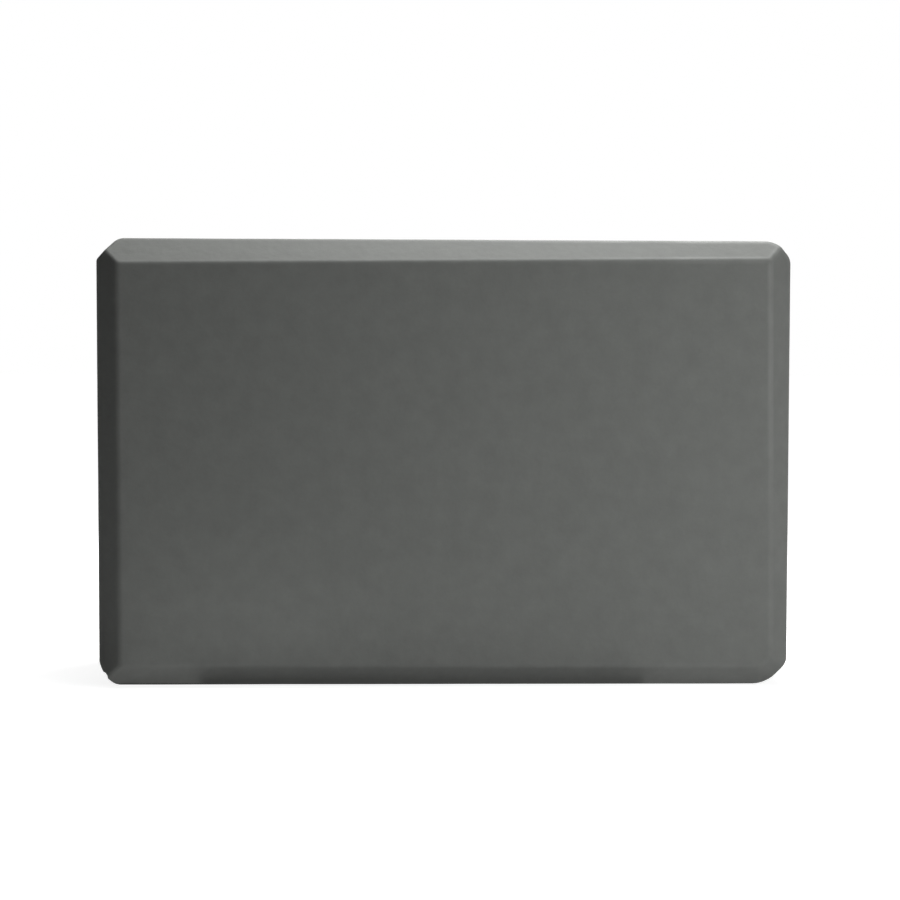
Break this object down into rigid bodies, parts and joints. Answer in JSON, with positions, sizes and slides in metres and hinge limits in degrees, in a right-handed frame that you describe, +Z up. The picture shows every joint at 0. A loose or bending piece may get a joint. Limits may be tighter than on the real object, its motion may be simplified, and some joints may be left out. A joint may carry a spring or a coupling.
{
  "type": "yoga block",
  "caption": "Rectangular foam yoga block with every edge bevelled at 45 degrees, laminated from foam sheets glued face to face; a firm prop to stand, sit or lean on.",
  "frame": {"origin": "middle of the long narrow side that the block stands on in the picture", "axes": "+X along the block's length, +Y from the front face to the rear face through the stack of sheets, +Z up across the block's width"},
  "size_m": [0.23, 0.075, 0.148],
  "materials": {
    "foam": "matte",
    "glue": "satin"
  },
  "bodies": {
    "root": {"front_foam_sheet": "foam", "front_glue_film": "glue", "middle_foam_sheet": "foam", "rear_glue_film": "glue", "rear_foam_sheet": "foam"}
  },
  "joints": []
}
